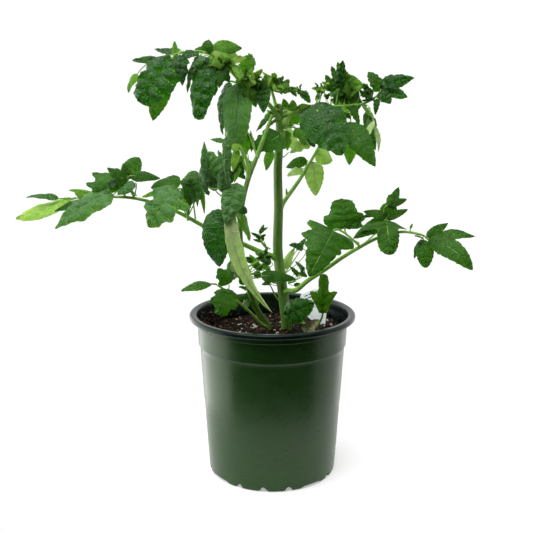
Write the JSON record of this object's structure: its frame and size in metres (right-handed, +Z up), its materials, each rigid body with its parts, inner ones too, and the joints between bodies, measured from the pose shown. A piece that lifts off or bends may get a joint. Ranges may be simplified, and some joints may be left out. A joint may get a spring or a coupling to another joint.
{
  "type": "potted tomato plant",
  "caption": "Young tomato plant in a round green plastic nursery pot: upright stem, long leaf stalks with lobed leaflets, potting mix, plain plant tag",
  "frame": {"origin": "centre of the pot's flat underside", "axes": "+Z up along the pot's axis, +X right, -Y toward the side where the plant's lowest leaves reach forward"},
  "size_m": [0.4084, 0.1805, 0.4222],
  "materials": {
    "pot_green": "satin",
    "soil_brown": "matte",
    "tag_white": "satin",
    "dry_leaf": "matte",
    "stem_green": "satin",
    "leaf_dark": "satin",
    "leaf_mid": "satin",
    "leaf_pale": "matte"
  },
  "bodies": {
    "root": {"base_right_leaflet_1": "leaf_mid", "base_right_leaflet_2": "leaf_dark", "base_right_stalk": "stem_green", "crown_leaflet_1": "leaf_dark", "crown_leaflet_2": "leaf_mid", "crown_leaflet_3": "leaf_mid", "crown_leaflet_4": "leaf_dark", "crown_leaflet_5": "leaf_dark", "crown_leaflet_6": "leaf_pale", "curtain_leaflet": "leaf_mid", "curtain_leaflet_behind": "leaf_dark", "dry_leaf": "dry_leaf", "front_left_leaflet_1": "leaf_dark", "front_left_leaflet_2": "leaf_dark", "front_left_leaflet_3": "leaf_pale", "front_left_leaflet_4": "leaf_dark", "front_left_stalk": "stem_green", "growing_tip": "stem_green", "low_left_leaflet_1": "leaf_mid", "low_left_leaflet_2": "leaf_mid", "low_left_leaflet_3": "leaf_mid", "low_left_leaflet_4": "leaf_mid", "low_left_leaflet_5": "leaf_mid", "low_left_leaflet_6": "leaf_pale", "low_left_stalk": "stem_green", "low_right_leaflet_1": "leaf_mid", "low_right_leaflet_2": "leaf_mid", "low_right_leaflet_3": "leaf_mid", "low_right_leaflet_4": "leaf_mid", "low_right_leaflet_5": "leaf_mid", "low_right_leaflet_6": "leaf_mid", "low_right_stalk": "stem_green", "main_stem": "stem_green", "plant_tag": "tag_white", "pot": "pot_green", "pot_left_leaflet_1": "leaf_mid", "pot_left_leaflet_2": "leaf_mid", "pot_left_leaflet_3": "leaf_mid", "pot_left_stalk": "stem_green", "right_leaflet_1": "leaf_pale", "right_leaflet_2": "leaf_pale", "right_leaflet_3": "leaf_pale", "right_stalk": "stem_green", "side_stem": "stem_green", "soil": "soil_brown", "top_left_leaflet_1": "leaf_dark", "top_left_leaflet_2": "leaf_pale", "top_left_leaflet_3": "leaf_dark", "top_left_leaflet_4": "leaf_dark", "top_left_stalk": "stem_green", "top_right_leaflet_1": "leaf_dark", "top_right_leaflet_2": "leaf_dark", "top_right_leaflet_3": "leaf_dark", "top_right_leaflet_4": "leaf_mid", "top_right_leaflet_5": "leaf_mid", "top_right_leaflet_6": "leaf_dark", "top_right_leaflet_7": "leaf_mid", "top_right_stalk": "stem_green"}
  },
  "joints": []
}
